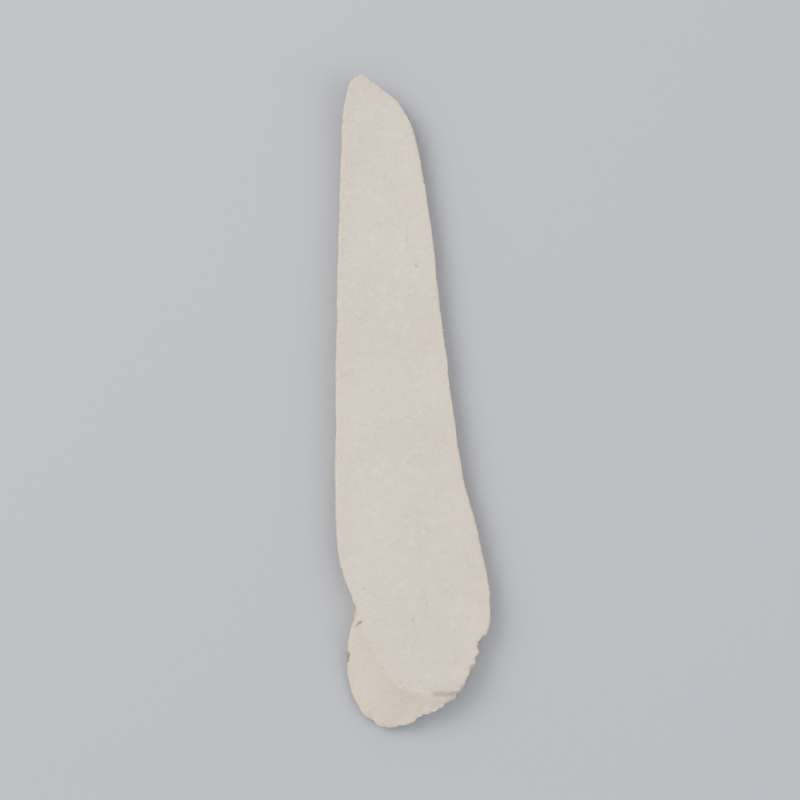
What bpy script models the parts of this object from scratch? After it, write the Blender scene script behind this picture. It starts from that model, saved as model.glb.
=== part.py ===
"""One dried slice of Chinese yam, cut on a long slant from the peeled root.

The slice is a thin tongue. Both broad sides are knife cuts, and its rim is the outer wall of
the root. Because of the slant, that wall slopes out below the face at the broad end and lies
under the overhanging face at the narrow end. Drying has bowed both ends up a little, so the
slice rests on the flat middle of its underside.

X runs across the slice, Y along it towards the narrow end, and Z up. The origin lies under the
middle of the slice's bounding box, in the plane that it rests on.
"""

import bpy
import numpy as np

MM = 0.001

# The outlines of the two cuts in millimetres, as (x, y) with y measured up from the broad tip.
# Each right side starts at the broad tip and ends at the narrow tip. Each left side runs the
# same way between the same two tips.
FACE_RIGHT = [
    (-0.5, 6.0), (2.6, 5.2), (5.9, 5.1), (7.9, 6.2), (9.4, 8.7), (10.7, 11.5), (12.3, 14.9),
    (12.9, 20.5), (11.6, 31.2), (10.2, 39.4), (8.9, 62.0), (7.9, 85.6), (5.6, 98.5), (1.6, 102.9),
    (-1.0, 105.2),
]
FACE_LEFT = [
    (-3.2, 7.4), (-7.0, 14.2), (-8.9, 19.8), (-10.6, 25.9), (-11.0, 30.5), (-9.3, 55.9),
    (-5.6, 92.7), (-4.5, 100.2), (-3.0, 104.2),
]
UNDERSIDE_RIGHT = [
    (-4.4, 0.2), (-0.9, 0.8), (1.6, 1.7), (5.3, 3.2), (7.6, 5.4), (9.2, 8.2), (10.7, 11.5),
    (12.2, 14.9), (12.7, 20.5), (11.2, 31.2), (9.6, 39.4), (8.3, 62.0), (7.1, 83.7), (3.7, 97.3),
    (0.7, 100.1),
]
UNDERSIDE_LEFT = [
    (-6.8, 0.6), (-8.7, 2.2), (-10.6, 6.2), (-11.0, 10.4), (-10.3, 15.0), (-9.0, 19.6),
    (-9.2, 40.0), (-6.7, 75.8), (-3.5, 96.1), (-1.8, 99.3),
]
LENGTH = FACE_RIGHT[-1][1] * MM
HALF_WIDTH = 11.7 * MM

# Thickness between the two cuts at the broad tip and at the narrow tip.
THICKNESS_BROAD = 3.4 * MM
THICKNESS_NARROW = 2.9 * MM

# The underside is flat between these two heights up the outline, and curls up beyond them.
FLAT_FROM = 24 * MM
FLAT_TO = 84 * MM
BOW_BROAD = 1.2 * MM
BOW_NARROW = 1.8 * MM
TWIST_BROAD = 0.25 * MM
TWIST_NARROW = -0.5 * MM

# The outer wall slopes by this rise over run where one cut reaches out past the other. What
# would be a thin edge there has broken off blunt, at least this share of the thickness high.
WALL_SLOPE = 0.5
LIP = 0.16
# The outer wall bulges by this much halfway between the two cuts.
WALL_BULGE = 0.12 * MM
# The face has sunk this much along its middle, and waves by this much along its length.
FACE_DISH = 0.18 * MM
FACE_WAVE = 0.09 * MM

# Bites out of the rim as (x, y, depth, half width): a notch on the right, and a chip beside each
# tip.
NOTCH = (11.1 * MM, 12.4 * MM, 0.8 * MM, 1.4 * MM)
BROAD_CHIP = (-7.9 * MM, 1.6 * MM, 0.35 * MM, 1.1 * MM)
NARROW_CHIP = (0.4 * MM, 104.2 * MM, 0.3 * MM, 1.3 * MM)
# Small chips at even steps along the crumbled right-hand part of the broad end.
CHIP_STEPS = (9, 37)
CHIP_COUNT = 13
CHIP_DEPTH = (0.4 * MM, 0.75 * MM)
CHIP_HALF_WIDTH = (0.55 * MM, 0.75 * MM)
EDGE_WAVE = 0.1 * MM
SEED = 7

# Below these heights up the outline the two cuts draw apart, on the right and on the left.
JOIN_RIGHT = 11.5 * MM
JOIN_LEFT = 19.8 * MM
# The flanks lie between these two heights.
FLANK_FROM = 27 * MM
FLANK_TO = 92 * MM
# Steps of the mesh from the broad tip to the join, on to the flank, along the flank, and round
# to the narrow tip; and steps across a cut.
SIDE_STEPS = (40, 26, 50, 14)
CROSS_STEPS = 10
# Rings of points up the wall: 0 is the underside's edge, 1 the top or foot of the blunt edge,
# and 2 the face's edge.
WALL_RINGS = (0, 0.5, 1, 1.5, 2)

FLESH_COLOR = (0.71, 0.66, 0.59, 1.0)
FLESH_ROUGHNESS = 0.9


def clear_scene():
    for obj in list(bpy.data.objects):
        bpy.data.objects.remove(obj, do_unlink=True)


def smooth_loop(knots, steps):
    """A smooth closed curve through the knots, with this many points from each knot on."""
    after = np.roll(knots, -1, axis=0)
    span = np.linalg.norm(after - knots, axis=1)[:, None] ** 0.5
    rise = (after - knots) / span
    back_span = np.roll(span, 1, axis=0)
    slope = (np.roll(rise, 1, axis=0) * span + rise * back_span) / (span + back_span)
    t = np.linspace(0, 1, steps, endpoint=False)[None, :, None]
    curve = (
        (2 * t**3 - 3 * t**2 + 1) * knots[:, None]
        + (t**3 - 2 * t**2 + t) * (slope * span)[:, None]
        + (3 * t**2 - 2 * t**3) * after[:, None]
        + (t**3 - t**2) * (np.roll(slope, -1, axis=0) * span)[:, None]
    )
    return curve.reshape(-1, 2)


def spaced_side(curve, join):
    """Points of one side from tip to tip, spaced so that those of both cuts go in pairs."""
    run = np.concatenate([[0], np.cumsum(np.linalg.norm(np.diff(curve, axis=0), axis=1))])
    stations = [run[np.argmax(curve[:, 1] > height)] for height in (join, FLANK_FROM, FLANK_TO)]
    steps = np.cumsum([0, *SIDE_STEPS])
    wanted = np.interp(np.arange(steps[-1] + 1), steps, [0, *stations, run[-1]])
    return np.column_stack([np.interp(wanted, run, curve[:, k]) for k in (0, 1)])


def outline(right, left):
    """The closed outline of one cut, counter-clockwise from its broad tip."""
    fineness = 40
    curve = smooth_loop(np.array([*right, *left[::-1]]) * MM, fineness)
    narrow_tip = (len(right) - 1) * fineness
    right_side = spaced_side(curve[: narrow_tip + 1], JOIN_RIGHT)
    left_side = spaced_side(np.vstack([curve[:1], curve[: narrow_tip - 1 : -1]]), JOIN_LEFT)
    return np.vstack([right_side, left_side[-2:0:-1]])


def outward(points):
    """Unit normals of a closed counter-clockwise outline."""
    along = np.roll(points, -1, axis=0) - np.roll(points, 1, axis=0)
    along /= np.linalg.norm(along, axis=1)[:, None]
    return np.column_stack([along[:, 1], -along[:, 0]])


def rim_bites(underside):
    """All bites out of the rim: the three named ones, and chips along the crumbled part."""
    rng = np.random.default_rng(SEED)
    bites = [NOTCH, BROAD_CHIP, NARROW_CHIP]
    for step in np.linspace(*CHIP_STEPS, CHIP_COUNT):
        x, y = underside[int(step)]
        bites.append((x, y, rng.uniform(*CHIP_DEPTH), rng.uniform(*CHIP_HALF_WIDTH)))
    return bites


def wear(points, bites):
    """How far in each point of an outline moves for the bites and a slight waviness."""
    depths = np.zeros(len(points))
    for x, y, depth, half_width in bites:
        distance = np.hypot(points[:, 0] - x, points[:, 1] - y) / half_width
        depths = np.maximum(depths, depth * (1 - distance**2))
    turn = np.linspace(0, 2 * np.pi, len(points), endpoint=False)
    for waves in (23, 37, 61):
        depths += EDGE_WAVE / 3 * (1 + np.sin(waves * turn + waves))
    return depths


def bow(points):
    """Height of the underside: 0 over its flat middle, curling up and twisting at both ends."""
    x, y = points[..., 0] / HALF_WIDTH, points[..., 1]
    broad = np.clip((FLAT_FROM - y) / FLAT_FROM, 0, None) ** 2
    narrow = np.clip((y - FLAT_TO) / (LENGTH - FLAT_TO), 0, None) ** 2
    return broad * (BOW_BROAD + TWIST_BROAD * x) + narrow * (BOW_NARROW + TWIST_NARROW * x)


def thickness(points):
    share = np.clip(points[..., 1] / LENGTH, 0, 1)
    return THICKNESS_BROAD + (THICKNESS_NARROW - THICKNESS_BROAD) * share


def overhangs(underside, face):
    """How far the face reaches out past the underside all round, evened out along the rim."""
    reach = ((face - underside) * outward(underside)).sum(axis=1)
    return sum(np.roll(reach, k) for k in range(-7, 8)) / 15


def wall_rings(underside, face, overhang):
    """Rings of points up the outer wall, from the edge of the underside to that of the face."""
    # The blunt edge stands upright on whichever cut reaches further out.
    on_face = np.clip(0.5 + overhang / (3 * MM), 0, 1)
    blunt = np.clip(1 - WALL_SLOPE * np.abs(overhang) / thickness(underside), LIP, 1)
    kink = blunt * (1 - on_face) + (1 - blunt) * on_face
    rings = []
    for place in WALL_RINGS:
        below, above = min(place, 1), max(place - 1, 0)
        level = kink * below + (1 - kink) * above
        share = on_face * below + (1 - on_face) * above
        ring = underside + (face - underside) * share[:, None]
        ring = ring + outward(ring) * (WALL_BULGE * 4 * level * (1 - level))[:, None]
        rings.append(np.column_stack([ring, bow(ring) + thickness(ring) * level]))
    return rings


def inner_points(edge, is_face):
    """Rows of points across a cut, between the two sides of its edge and without the tips."""
    half = len(edge) // 2
    right = edge[1:half, None]
    left = edge[:half:-1, None]
    share = np.linspace(0, 1, CROSS_STEPS + 1)[1:-1]
    flat = left * (1 - share[:, None]) + right * share[:, None]
    height = bow(flat)
    if is_face:
        x, y = flat[..., 0] / MM, flat[..., 1] / MM
        middle = 4 * share * (1 - share)
        wave = np.sin(y / 5.2) * np.cos(x / 4 + y / 17) - 1
        height = height + thickness(flat) + (FACE_WAVE * wave - FACE_DISH) * middle
    return np.dstack([flat, height])


def cut_faces(edge_start, inner_start, count, is_face):
    """Faces of one cut, between its edge ring and its inner rows of points."""
    half = count // 2
    columns = CROSS_STEPS - 1
    rows = []
    for i in range(1, half):
        first = inner_start + (i - 1) * columns
        rows.append([edge_start + count - i, *range(first, first + columns), edge_start + i])
    faces = []
    for lower, upper in zip(rows, rows[1:]):
        for k in range(CROSS_STEPS):
            faces.append((lower[k], lower[k + 1], upper[k + 1], upper[k]))
    for k in range(CROSS_STEPS):
        faces.append((edge_start, rows[0][k + 1], rows[0][k]))
        faces.append((edge_start + half, rows[-1][k], rows[-1][k + 1]))
    return faces if is_face else [face[::-1] for face in faces]


def slice_mesh(name):
    """The closed mesh: rings up the outer wall, then the inner points of both cuts."""
    underside = outline(UNDERSIDE_RIGHT, UNDERSIDE_LEFT)
    face = outline(FACE_RIGHT, FACE_LEFT)
    bites = rim_bites(underside)
    underside_wear, face_wear = wear(underside, bites), wear(face, bites)
    # The bites run straight down through the sloping wall, so they change its overhang too.
    overhang = overhangs(underside, face) + underside_wear - face_wear
    underside = underside - outward(underside) * underside_wear[:, None]
    face = face - outward(face) * face_wear[:, None]
    rings = wall_rings(underside, face, overhang)
    count = len(face)
    faces = []
    for start in range(0, (len(rings) - 1) * count, count):
        for i in range(count):
            j = (i + 1) % count
            faces.append((start + i, start + j, start + count + j, start + count + i))
    points = np.vstack(rings)
    for edge, is_face in ((underside, False), (face, True)):
        edge_start = (len(rings) - 1) * count if is_face else 0
        faces += cut_faces(edge_start, len(points), count, is_face)
        points = np.vstack([points, inner_points(edge, is_face).reshape(-1, 3)])
    low, high = points.min(axis=0), points.max(axis=0)
    points -= [(low[0] + high[0]) / 2, (low[1] + high[1]) / 2, low[2]]
    mesh = bpy.data.meshes.new(name)
    mesh.from_pydata(points.tolist(), [], faces)
    mesh.validate()
    return mesh


def flesh_material():
    material = bpy.data.materials.new("yam_flesh")
    material.use_nodes = True
    shader = material.node_tree.nodes["Principled BSDF"]
    shader.inputs["Base Color"].default_value = FLESH_COLOR
    shader.inputs["Roughness"].default_value = FLESH_ROUGHNESS
    return material


def main():
    clear_scene()
    collection = bpy.data.collections.new("chinese_yam_slice")
    bpy.context.scene.collection.children.link(collection)
    piece = bpy.data.objects.new("yam_slice", slice_mesh("yam_slice"))
    piece.data.materials.append(flesh_material())
    collection.objects.link(piece)


main()
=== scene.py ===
import math

import bmesh
import bpy
import numpy as np
from mathutils import Matrix, Vector


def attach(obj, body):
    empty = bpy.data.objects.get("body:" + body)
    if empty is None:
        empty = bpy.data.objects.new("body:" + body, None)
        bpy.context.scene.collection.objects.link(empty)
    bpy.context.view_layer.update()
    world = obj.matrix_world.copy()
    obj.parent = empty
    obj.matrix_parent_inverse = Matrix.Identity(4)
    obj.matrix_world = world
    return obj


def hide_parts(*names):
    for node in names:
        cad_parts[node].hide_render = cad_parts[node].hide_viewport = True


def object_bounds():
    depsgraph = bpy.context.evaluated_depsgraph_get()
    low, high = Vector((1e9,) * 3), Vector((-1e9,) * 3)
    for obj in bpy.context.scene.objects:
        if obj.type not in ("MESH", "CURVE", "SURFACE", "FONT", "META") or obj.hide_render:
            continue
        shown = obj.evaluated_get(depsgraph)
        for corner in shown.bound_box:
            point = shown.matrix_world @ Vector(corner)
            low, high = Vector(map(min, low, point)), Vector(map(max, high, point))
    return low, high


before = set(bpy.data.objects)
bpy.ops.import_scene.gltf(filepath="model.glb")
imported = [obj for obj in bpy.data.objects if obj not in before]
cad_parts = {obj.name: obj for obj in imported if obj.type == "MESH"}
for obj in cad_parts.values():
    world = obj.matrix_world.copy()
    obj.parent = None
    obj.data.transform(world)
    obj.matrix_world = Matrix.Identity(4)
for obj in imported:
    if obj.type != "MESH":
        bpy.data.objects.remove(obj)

MM = 0.001
CAD_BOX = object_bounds()

# Grid that the fine surface of the slice is built on.
GRAIN = 0.22 * MM
# Marks of this slice, in millimetres: the short crack beside the dent on its left edge, a brown
# scar lower down on that edge, and the crease where the face ends at the lower right.
CRACK = ((-10.1, -35.95), (-8.95, -35.35))
SCAR = ((-11.65, -41.2), (-11.5, -40.2))
CREASE = ((1.1, -47.4), (5.5, -47.8))
CRACK_DEPTH, SCAR_DEPTH, CREASE_DEPTH = 0.34, 0.1, 0.22
# Every edge is rubbed down by this many millimetres.
EDGE_WEAR = 0.05
# What the relief tells the flesh material about each spot, stored as attributes on the mesh.
SPOT_MARKS = ("rim", "wall", "facing", "pit", "fibre", "lines", "crack", "scar", "crease", "chip")

# A cut of the CAD slice ends at edges that turn by more than the first angle. A level edge on
# the wall belongs to the rim where it turns by more than the second.
CUT_ANGLE = 0.12
WALL_EDGE_ANGLE = 0.6

# The slice leans this much to the left in the picture, seen almost from straight above.
LEAN = math.radians(4.5)
CAMERA_HEIGHT = math.radians(86)
CAMERA_AWAY = 0.305
CAMERA_TARGET = (0.0, -0.0005, 0.002)
# The floor lies this far below the slice, so that the two never share a plane.
FLOOR_GAP = 0.03 * MM


class Value:
    """A node's output, with arithmetic that adds Math nodes to the same tree."""

    def __init__(self, tree, socket):
        self.tree = tree
        self.socket = socket

    def maths(self, operation, *others):
        values = dict(enumerate((self, *others)))
        return self.tree.node("ShaderNodeMath", {"operation": operation}, values)

    def __add__(self, other):
        return self.maths("ADD", other)

    def __sub__(self, other):
        return self.maths("SUBTRACT", other)

    def __mul__(self, other):
        return self.maths("MULTIPLY", other)

    def __pow__(self, other):
        return self.maths("POWER", other)

    def __rsub__(self, other):
        return self * -1 + other

    __radd__ = __add__
    __rmul__ = __mul__

    def size(self):
        return self.maths("ABSOLUTE")

    def least(self, other):
        return self.maths("MINIMUM", other)

    def most(self, other):
        return self.maths("MAXIMUM", other)

    def ramp(self, start, end):
        """0 below start and 1 above end, or the other way round where start is the larger."""
        settings = {"interpolation_type": "SMOOTHSTEP"}
        values = {"Value": self, "From Min": start, "From Max": end}
        if start > end:
            values = {"Value": self, "From Min": end, "From Max": start, "To Min": 1.0, "To Max": 0.0}
        return self.tree.node("ShaderNodeMapRange", settings, values)


class Tree:
    """A node tree that is filled by naming nodes with their settings and values."""

    def __init__(self, nodes):
        self.nodes = nodes

    def node(self, kind, settings=None, values=None, out=0):
        """Adds a node and returns its output, or its outputs where out is a list."""
        made = self.nodes.nodes.new(kind)
        for name, setting in (settings or {}).items():
            setattr(made, name, setting)
        for key, value in (values or {}).items():
            socket = self.socket(made.inputs, key)
            if isinstance(value, Value):
                self.nodes.links.new(value.socket, socket)
            else:
                socket.default_value = value
        if isinstance(out, list):
            return [Value(self, self.socket(made.outputs, key)) for key in out]
        return Value(self, self.socket(made.outputs, out)) if len(made.outputs) else made

    @staticmethod
    def socket(sockets, key):
        if isinstance(key, int):
            return sockets[key]
        shown = [s for s in sockets if key in (s.identifier, s.name) and s.enabled]
        return shown[0]

    def vector(self, operation, *others):
        values = dict(enumerate(others))
        if operation == "SCALE":
            values = {0: others[0], "Scale": others[1]}
        return self.node("ShaderNodeVectorMath", {"operation": operation}, values)

    def parts(self, vector, names):
        """The parts of a vector that are named, as a list."""
        return self.node("ShaderNodeSeparateXYZ", {}, {0: vector}, list(names))

    def noise(self, where, size, detail=2.0, roughness=0.5):
        """Smooth noise from -1 to 1 with lumps of this size in millimetres."""
        values = {"Vector": where, "Scale": 1 / size, "Detail": detail, "Roughness": roughness}
        return self.node("ShaderNodeTexNoise", {}, values, "Fac") * 2 - 1

    def cells(self, where, size):
        """Distance to the middle of each cell, and one random number for each cell."""
        values = {"Vector": where, "Scale": 1 / size}
        near, tint = self.node("ShaderNodeTexVoronoi", {}, values, ["Distance", "Color"])
        return near, *self.parts(tint, "X")

    def stretched(self, where, x, y, z):
        """The position for a pattern with cells of this size in millimetres."""
        return self.vector("MULTIPLY", where, (1 / x, 1 / y, 1 / z))

    def blend(self, first, second, share):
        values = {"Factor_Float": share, "A_Color": first, "B_Color": second}
        return self.node("ShaderNodeMix", {"data_type": "RGBA"}, values, "Result_Color")


def shape_tree(name, inputs):
    """An empty Geometry Nodes tree with a mesh in and out and named inputs, each a value."""
    group = bpy.data.node_groups.new(name, "GeometryNodeTree")
    group.interface.new_socket("Mesh", in_out="INPUT", socket_type="NodeSocketGeometry")
    group.interface.new_socket("Mesh", in_out="OUTPUT", socket_type="NodeSocketGeometry")
    for label, kind in inputs:
        group.interface.new_socket(label, in_out="INPUT", socket_type=kind)
    tree = Tree(group)
    given = tree.node("NodeGroupInput", out=["Mesh", *(label for label, _ in inputs)])
    return tree, given


def finish_shape(tree, mesh, material):
    mesh = tree.node("GeometryNodeRealizeInstances", {}, {"Geometry": mesh})
    mesh = tree.node("GeometryNodeSetMaterial", {}, {"Geometry": mesh, "Material": material})
    tree.node("NodeGroupOutput", {}, {"Mesh": mesh})


def apply_tree(obj, tree, inputs):
    modifier = obj.modifiers.new(tree.nodes.name, "NODES")
    modifier.node_group = tree.nodes
    for item in tree.nodes.interface.items_tree:
        if item.in_out == "INPUT" and item.name in inputs:
            modifier[item.identifier] = inputs[item.name]


def add_object(name, mesh):
    obj = bpy.data.objects.new(name, mesh)
    bpy.context.scene.collection.objects.link(obj)
    return obj


def plain_piece(name, source):
    """A plain mesh object with the evaluated shape of the source, kept inside the CAD box."""
    graph = bpy.context.evaluated_depsgraph_get()
    mesh = bpy.data.meshes.new_from_object(source.evaluated_get(graph), depsgraph=graph)
    mesh.name = name
    points = np.empty(len(mesh.vertices) * 3, np.float32)
    mesh.vertices.foreach_get("co", points)
    points = np.clip(points.reshape(-1, 3), np.array(CAD_BOX[0]), np.array(CAD_BOX[1]))
    mesh.vertices.foreach_set("co", points.astype(np.float32).ravel())
    mesh.update()
    return add_object(name, mesh)


def whole_cut(shape, side):
    """The faces of one knife cut: those reached from its middle without crossing a sharp edge."""
    middle = min((face for face in shape.faces if face.normal.z * side > 0.9),
                 key=lambda face: face.calc_center_median().xy.length)
    found, waiting = {middle}, [middle]
    while waiting:
        for edge in waiting.pop().edges:
            if edge.calc_face_angle(0) < CUT_ANGLE:
                fresh = set(edge.link_faces) - found
                found |= fresh
                waiting += fresh
    return found


def is_rim(edge, cuts):
    """Whether a cut meets the wall in this edge, or the wall has a level sharp edge in it."""
    in_cuts = sum(face in cuts for face in edge.link_faces)
    start, end = (vert.co for vert in edge.verts)
    level = abs(end.z - start.z) < 0.3 * (end - start).length
    sharp = edge.calc_face_angle(0) > WALL_EDGE_ANGLE
    return in_cuts == 1 or (in_cuts == 0 and level and sharp)


def joined_slice(node):
    """A copy of the CAD slice with its triangles joined, and an object with its rim's edges alone.

    Each face of the copy has the attribute outer_wall: 1 on the wall and 0 on the cuts."""
    mesh = node.data.copy()
    mesh.materials.clear()
    shape = bmesh.new()
    shape.from_mesh(mesh)
    bmesh.ops.remove_doubles(shape, verts=shape.verts, dist=1e-6)
    shape.normal_update()
    wall = shape.faces.layers.float.new("outer_wall")
    cuts = whole_cut(shape, 1) | whole_cut(shape, -1)
    for face in shape.faces:
        face[wall] = float(face not in cuts)
    shape.to_mesh(mesh)
    inner = [edge for edge in shape.edges if not is_rim(edge, cuts)]
    bmesh.ops.delete(shape, geom=shape.faces[:], context="FACES_ONLY")
    bmesh.ops.delete(shape, geom=inner, context="EDGES")
    wires = bpy.data.meshes.new("rim_wires")
    shape.to_mesh(wires)
    shape.free()
    return add_object("joined_slice", mesh), add_object("rim_wires", wires)


def mark_distance(x, y, mark):
    """Distance from (x, y) to a straight mark between two points, all in millimetres."""
    start, end = mark
    run = (end[0] - start[0], end[1] - start[1])
    length = math.hypot(*run)
    along = ((x - start[0]) * (run[0] / length) + (y - start[1]) * (run[1] / length))
    along = along.most(0.0).least(length)
    dx = x - (along * (run[0] / length) + start[0])
    dy = y - (along * (run[1] / length) + start[1])
    return (dx * dx + dy * dy) ** 0.5


def knife_lines(tree, p, place):
    """Uneven parallel lines that the knife left a little aslant across the cut."""
    x, y, _ = place
    across = tree.node("ShaderNodeCombineXYZ", {}, {
        "X": x * 0.03, "Y": y + x * 0.22, "Z": tree.noise(p, 20.0) * 0.8})
    lines = tree.noise(across, 1.1, 3.0, 0.6)
    return lines * (tree.noise(p, 15.0).ramp(-0.35, 0.35) * 0.8 + 0.2)


def fibre_strands(tree, p):
    """Short strands along the root, where the cut has run through its vessels."""
    bent = tree.vector("SCALE", tree.node(
        "ShaderNodeTexNoise", {}, {"Vector": p, "Scale": 0.12}, "Color"), 0.9)
    near, kind = tree.cells(tree.vector("ADD", tree.stretched(p, 1.3, 12.0, 1.6), bent), 1.0)
    long_ones = near.ramp(0.16, 0.04) * kind.ramp(0.45, 0.6)
    near, kind = tree.cells(tree.vector("ADD", tree.stretched(p, 0.7, 3.2, 0.9), bent), 1.0)
    return long_ones.most(near.ramp(0.2, 0.06) * kind.ramp(0.7, 0.8) * 0.7)


def wall_folds(tree, p, wall, facing):
    """Long facets, wrinkles and dimples of the peeled wall, deepest where it is steep."""
    facets = tree.noise(tree.stretched(p, 2.6, 15.0, 2.6), 1.0, 1.0)
    folds = tree.noise(tree.stretched(p, 0.8, 6.0, 0.8), 1.0, 3.0, 0.6)
    near, kind = tree.cells(tree.stretched(p, 2.2, 3.0, 2.2), 1.0)
    dimples = near.ramp(0.28, 0.06) * kind.ramp(0.72, 0.85)
    steep = facing.ramp(0.9, 0.5) * 0.6 + 0.4
    folds = facets * 0.5 + folds * 0.5 + tree.noise(p, 0.8, 2.0) * 0.15 - dimples * 0.4 - 0.5
    return folds * wall * steep


def rim_chips(tree, p, place, edge, facing):
    """Small chips out of the rim, more and deeper on the broken edge at the lower right."""
    x, y, z = place
    ragged = x.ramp(-2.0, 3.0) * y.ramp(-30.0, -36.0) * z.ramp(4.0, 3.75)
    chips = tree.noise(p, 1.0, 3.0, 0.65).ramp(0.0, 0.4) * edge * (ragged * 1.8 + 1.0)
    return chips * (facing.ramp(0.97, 0.7) * 0.6 + 0.4)


def own_marks(tree, p, place):
    """The crack, the scar and the crease of this slice, each 1 along its middle."""
    x, y, z = place
    crooked = tree.noise(p, 0.6, 2.0) * 0.3
    above_wall_foot = z.ramp(1.0, 2.2)
    crack = mark_distance(x, y + crooked, CRACK).ramp(0.26, 0.05) * above_wall_foot
    crack = crack * (x.ramp(-10.4, -9.2) * 0.6 + 0.4)
    scar = mark_distance(x + crooked, y, SCAR).ramp(0.5, 0.12)
    crease = mark_distance(x, y + crooked, CREASE).ramp(0.6, 0.12) * above_wall_foot
    return crack, scar, crease * x.ramp(0.9, 2.2) * x.ramp(6.0, 4.6)


def dried_surface(flesh):
    """Shapes the fine relief of the slice and marks where each finish shows."""
    tree, given = shape_tree("dried_surface", [
        ("Joined Slice", "NodeSocketObject"),
        ("Rim", "NodeSocketObject"),
        ("Waviness", "NodeSocketFloat"),
        ("Knife Marks", "NodeSocketFloat"),
        ("Fibres", "NodeSocketFloat"),
        ("Pits", "NodeSocketFloat"),
        ("Wrinkles", "NodeSocketFloat"),
        ("Crumbling", "NodeSocketFloat"),
    ])
    mesh, joined, wires, waviness, knife, fibre_height, pit_depth, wrinkle, crumbling = given
    p = tree.vector("SCALE", tree.node("GeometryNodeInputPosition"), 1000.0)
    place = tree.parts(p, "XYZ")
    normal = tree.node("GeometryNodeInputNormal")
    facing = tree.parts(normal, "Z")[0].size()
    edges = tree.node("GeometryNodeObjectInfo", {}, {"Object": wires}, "Geometry")
    rim = tree.node("GeometryNodeProximity", {"target_element": "EDGES"},
                    {0: edges}, "Distance") * 1000.0
    smooth = tree.node("GeometryNodeObjectInfo", {}, {"Object": joined}, "Geometry")
    wall = tree.node("GeometryNodeInputNamedAttribute", {"data_type": "FLOAT"},
                     {"Name": "outer_wall"}, "Attribute")
    wall = tree.node("GeometryNodeSampleNearestSurface", {"data_type": "FLOAT"},
                     {"Mesh": smooth, "Value": wall}, "Value")
    wall = wall * rim.ramp(0.0, 0.35)
    cut = 1 - wall

    wave = tree.noise(p, 9.0) * 0.6 + tree.noise(p, 2.6, 3.0) * 0.4 - 0.5
    lines = knife_lines(tree, p, place)
    fibre = fibre_strands(tree, p) * cut
    near, kind = tree.cells(p, 1.6)
    pit = near.ramp(0.20, 0.05) * kind.ramp(0.66, 0.76) * cut
    folds = wall_folds(tree, p, wall, facing)
    edge = rim.ramp(0.75, 0.0)
    chip = rim_chips(tree, p, place, edge, facing)
    crack, scar, crease = own_marks(tree, p, place)

    depth = (wave * waviness + lines * knife) * cut + fibre * fibre_height - pit * pit_depth
    depth = depth + folds * wrinkle - chip * crumbling - edge * EDGE_WEAR
    depth = depth - crack * CRACK_DEPTH - scar * SCAR_DEPTH - crease * CREASE_DEPTH
    values = (rim, wall, facing, pit, fibre, lines, crack, scar, crease, chip)
    for name, value in zip(SPOT_MARKS, values):
        mesh = tree.node("GeometryNodeStoreNamedAttribute", {"data_type": "FLOAT"},
                         {"Geometry": mesh, "Name": name, "Value": value})
    shift = tree.vector("SCALE", normal, depth * MM)
    mesh = tree.node("GeometryNodeSetPosition", {}, {"Geometry": mesh, "Offset": shift})
    mesh = tree.node("GeometryNodeSetShadeSmooth", {}, {0: mesh})
    finish_shape(tree, mesh, flesh)
    return tree


def rim_crumbs(flour):
    """Scatters crumbs of dried starch over a mesh, more of them near its rim."""
    tree, given = shape_tree("rim_crumbs", [
        ("Per Square Metre", "NodeSocketFloat"),
        ("Smallest", "NodeSocketFloat"),
        ("Largest", "NodeSocketFloat"),
        ("Seed", "NodeSocketInt"),
    ])
    mesh, density, smallest, largest, seed = given
    rim = tree.node("GeometryNodeInputNamedAttribute", {"data_type": "FLOAT"}, {"Name": "rim"})
    up = tree.parts(tree.node("GeometryNodeInputNormal"), "Z")[0]
    spread = (rim.ramp(1.4, 0.1) + 0.03) * up.ramp(-0.2, 0.3) * density
    points = tree.node("GeometryNodeDistributePointsOnFaces", {},
                       {"Mesh": mesh, "Density": spread, "Seed": seed}, "Points")
    lump = tree.node("GeometryNodeMeshIcoSphere", {}, {"Radius": 1.0, "Subdivisions": 1}, "Mesh")
    size = tree.node("FunctionNodeRandomValue", {"data_type": "FLOAT"},
                     {"Min": 0.0, "Max": 1.0, "Seed": 3}, "Value") ** 2.5
    size = size * (largest - smallest) + smallest
    squash = tree.node("FunctionNodeRandomValue", {"data_type": "FLOAT_VECTOR"},
                       {"Min": (0.7, 0.7, 0.6), "Max": (1.2, 1.2, 0.9), "Seed": 4}, "Value")
    turn = tree.node("FunctionNodeRandomValue", {"data_type": "FLOAT_VECTOR"},
                     {"Max": (6.28, 6.28, 6.28), "Seed": 5}, "Value")
    crumbs = tree.node("GeometryNodeInstanceOnPoints", {}, {
        "Points": points, "Instance": lump, "Rotation": turn,
        "Scale": tree.vector("SCALE", squash, size)})
    crumbs = tree.node("GeometryNodeRealizeInstances", {}, {"Geometry": crumbs})
    where = tree.vector("SCALE", tree.node("GeometryNodeInputPosition"), 1000.0)
    rough = tree.node("ShaderNodeTexNoise", {}, {"Vector": where, "Scale": 6.0}, "Color")
    shift = tree.vector("SCALE", tree.vector("SUBTRACT", rough, (0.5, 0.5, 0.5)), 0.12 * MM)
    crumbs = tree.node("GeometryNodeSetPosition", {}, {"Geometry": crumbs, "Offset": shift})
    finish_shape(tree, crumbs, flour)
    return tree


def new_material(name):
    material = bpy.data.materials.new(name)
    material.use_nodes = True
    material.node_tree.nodes.clear()
    return material, Tree(material.node_tree)


def object_place(tree):
    """The position on the piece in millimetres."""
    return tree.vector("SCALE", tree.node("ShaderNodeTexCoord", {}, {}, "Object"), 1000.0)


def surface(tree, values):
    """Ends a material's tree in its shader."""
    shader = tree.node("ShaderNodeBsdfPrincipled", {}, values, "BSDF")
    tree.node("ShaderNodeOutputMaterial", {}, {"Surface": shader})


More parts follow.
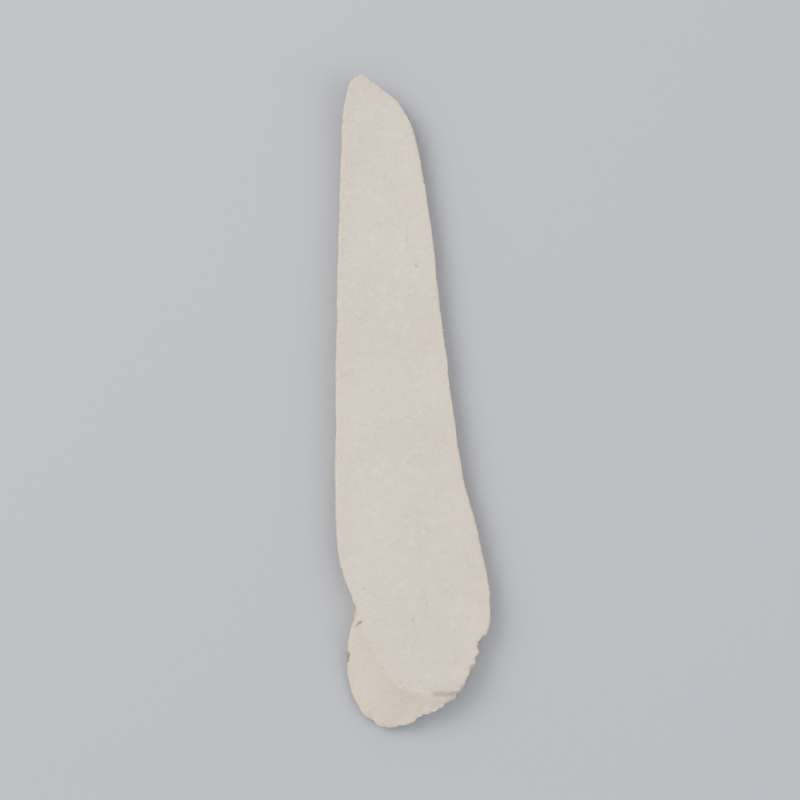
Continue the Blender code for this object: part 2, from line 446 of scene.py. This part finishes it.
def flesh_color(tree, p, marks):
    """Pinkish cream where cut and a little yellower on the outer wall, with brown specks and a brown
    scar; painted shade in the crack, along the crease, in the hollow below the face's edge and above
    the crease; whiter on the rim, partly rubbed chalk and partly a painted highlight.
    """
    x, y, z = tree.parts(p, "XYZ")
    wall, facing, rim = marks["wall"], marks["facing"], marks["rim"]
    color = tree.blend((0.73, 0.675, 0.615, 1), (0.70, 0.642, 0.585, 1),
                       tree.noise(p, 11.0, 3.0).ramp(-0.45, 0.5))
    dusting = tree.noise(p, 1.6, 4.0, 0.65) + marks["lines"] * 0.35
    color = tree.blend(color, (0.78, 0.735, 0.675, 1), dusting.ramp(-0.05, 0.6) * 0.65)
    warm = rim.ramp(2.4, 0.3) * (x.ramp(5.0, 9.0) * 0.2 + 0.5)
    color = tree.blend(color, (0.745, 0.65, 0.558, 1), (warm + wall * 0.5).least(0.85))

    # Painted shade: the outer wall is darker in the hollow just below the face's edge.
    hollow_shade = wall * facing.ramp(0.7, 0.88) * z.ramp(2.4, 3.6)
    # Painted shadow: a soft darker patch on the cut just above the crease.
    shade_above_crease = mark_distance(x, y - 0.9, CREASE).ramp(1.8, 0.2) * (1 - wall)
    color = tree.blend(color, (0.665, 0.588, 0.53, 1), (hollow_shade * 0.35).most(shade_above_crease * 0.4))
    color = tree.blend(color, (0.68, 0.60, 0.48, 1), facing.ramp(0.85, 0.35) * 0.7)
    color = tree.blend(color, (0.56, 0.49, 0.40, 1), marks["fibre"] * 0.3)
    color = tree.blend(color, (0.54, 0.47, 0.38, 1), marks["pit"] * 0.25)
    # Whiter along the rim, partly chalk rubbed off its lip and partly a painted highlight that is
    # strongest where the lip tilts; chips are whiter where they show fresh starch.
    rim_wear_and_highlight = rim.ramp(0.4, 0.1) * tree.noise(p, 4.0, 3.0).ramp(-0.4, 0.5)
    rim_wear_and_highlight = rim_wear_and_highlight * (facing.ramp(0.99, 0.8) * 0.7 + 0.3)
    color = tree.blend(color, (0.80, 0.77, 0.72, 1), (marks["chip"] * 0.35).most(rim_wear_and_highlight * 0.35))

    near, kind = tree.cells(p, 4.5)
    speck = near.ramp(0.085, 0.02) * kind.ramp(0.80, 0.86)
    near, kind = tree.cells(p, 2.2)
    rootlet = near.ramp(0.2, 0.04) * kind.ramp(0.70, 0.8) * wall
    color = tree.blend(color, (0.42, 0.32, 0.21, 1), (speck * 0.35).most(rootlet * 0.45))
    # Painted shade in the crack and along the crease, and the scar's own brown.
    shade_and_scar = (marks["crack"] * 0.4).most(marks["scar"] * 0.7).most(marks["crease"] * 0.3)
    return tree.blend(color, (0.22, 0.15, 0.10, 1), shade_and_scar)


def yam_flesh():
    """Matt, chalky dried flesh."""
    material, tree = new_material("yam_flesh")
    p = object_place(tree)
    marks = {name: tree.node("ShaderNodeAttribute", {"attribute_name": name}, {}, "Fac")
             for name in SPOT_MARKS}
    powder = tree.noise(p, 0.7, 4.0, 0.75)
    grit = tree.noise(p, 0.2, 2.0, 0.6)
    bump = tree.node("ShaderNodeBump", {}, {
        "Strength": 1.0, "Distance": 0.00014, "Height": powder * 0.65 + grit * 0.35}, "Normal")
    surface(tree, {
        "Base Color": flesh_color(tree, p, marks), "Normal": bump,
        "Roughness": 0.93 - marks["wall"] * 0.08 + powder * 0.03,
        "Specular IOR Level": 0.25, "Subsurface Weight": 0.06,
        "Subsurface Radius": (1.0, 0.7, 0.45), "Subsurface Scale": 0.0012,
    })
    return material


def yam_flour():
    """Crumbs of dried starch, a little whiter than the cut."""
    material, tree = new_material("yam_flour")
    p = object_place(tree)
    color = tree.blend((0.70, 0.645, 0.565, 1), (0.80, 0.76, 0.70, 1),
                       tree.noise(p, 1.5, 2.0).ramp(-0.5, 0.5))
    bump = tree.node("ShaderNodeBump", {}, {
        "Strength": 0.4, "Distance": 0.00003, "Height": tree.noise(p, 0.1)}, "Normal")
    surface(tree, {"Base Color": color, "Roughness": 0.95, "Normal": bump,
                   "Specular IOR Level": 0.2})
    return material


def pale_floor():
    material, tree = new_material("pale_floor")
    surface(tree, {"Base Color": (0.548, 0.552, 0.578, 1), "Roughness": 0.7,
                   "Specular IOR Level": 0.3})
    return material


def build_slice():
    """The slice with its fine surface, in place of the CAD node, and the crumbs that lie on it."""
    joined, wires = joined_slice(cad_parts["yam_slice"])
    fine = add_object("fine_slice", joined.data.copy())
    remesh = fine.modifiers.new("grain", "REMESH")
    remesh.mode = "VOXEL"
    remesh.voxel_size = GRAIN
    apply_tree(fine, dried_surface(yam_flesh()), {
        "Joined Slice": joined, "Rim": wires, "Waviness": 0.14, "Knife Marks": 0.05, "Fibres": 0.04,
        "Pits": 0.12, "Wrinkles": 0.22, "Crumbling": 0.20})
    body = plain_piece("dried_slice", fine)
    apply_tree(fine, rim_crumbs(yam_flour()), {
        "Per Square Metre": 1.6e6, "Smallest": 0.04 * MM, "Largest": 0.15 * MM, "Seed": 11})
    crumbs = plain_piece("starch_crumbs", fine)
    for obj in (fine, joined, wires):
        bpy.data.objects.remove(obj)
    for piece in (body, crumbs):
        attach(piece, "root")
    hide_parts("yam_slice")


def build_floor():
    mesh = bpy.data.meshes.new("floor")
    shape = bmesh.new()
    bmesh.ops.create_grid(shape, x_segments=1, y_segments=1, size=1.5)
    shape.to_mesh(mesh)
    shape.free()
    mesh.materials.append(pale_floor())
    mesh.transform(Matrix.Translation((0, 0, -FLOOR_GAP)))
    add_object("floor", mesh)


def look_at(obj, place, target, up=(0, 0, 1)):
    """Puts a lamp or the camera at a place, facing the target, with this direction upwards."""
    back = (Vector(place) - Vector(target)).normalized()
    side = Vector(up).cross(back).normalized()
    turn = Matrix((side, back.cross(side), back)).transposed()
    obj.matrix_world = Matrix.Translation(place) @ turn.to_4x4()


def add_lamp(name, place, size, power, color=(1, 1, 1)):
    data = bpy.data.lights.new(name, "AREA")
    data.shape = "DISK"
    data.size = size
    data.energy = power
    data.color = color
    lamp = bpy.data.objects.new(name, data)
    bpy.context.scene.collection.objects.link(lamp)
    look_at(lamp, place, (0, 0, 0), (0, 1, 0.2))


def light_and_view():
    add_lamp("window_upper_left", (-0.55, 0.42, 0.62), 0.7, 3.7, (1.0, 0.985, 0.96))
    add_lamp("fill_right", (0.7, -0.3, 0.6), 0.8, 1.6, (0.96, 0.98, 1.0))
    world = bpy.data.worlds.new("soft_room")
    world.use_nodes = True
    world.node_tree.nodes["Background"].inputs["Color"].default_value = (0.96, 0.98, 1.0, 1)
    world.node_tree.nodes["Background"].inputs["Strength"].default_value = 0.62
    bpy.context.scene.world = world
    bpy.context.scene.view_settings.view_transform = "Standard"

    data = bpy.data.cameras.new("camera")
    data.lens = 85
    data.clip_start = 0.01
    camera = bpy.data.objects.new("camera", data)
    bpy.context.scene.collection.objects.link(camera)
    place = (0.0, CAMERA_TARGET[1] - CAMERA_AWAY * math.cos(CAMERA_HEIGHT),
             CAMERA_AWAY * math.sin(CAMERA_HEIGHT))
    look_at(camera, place, CAMERA_TARGET, (math.sin(LEAN), math.cos(LEAN), 0))
    bpy.context.scene.camera = camera


light_and_view()
build_slice()
build_floor()
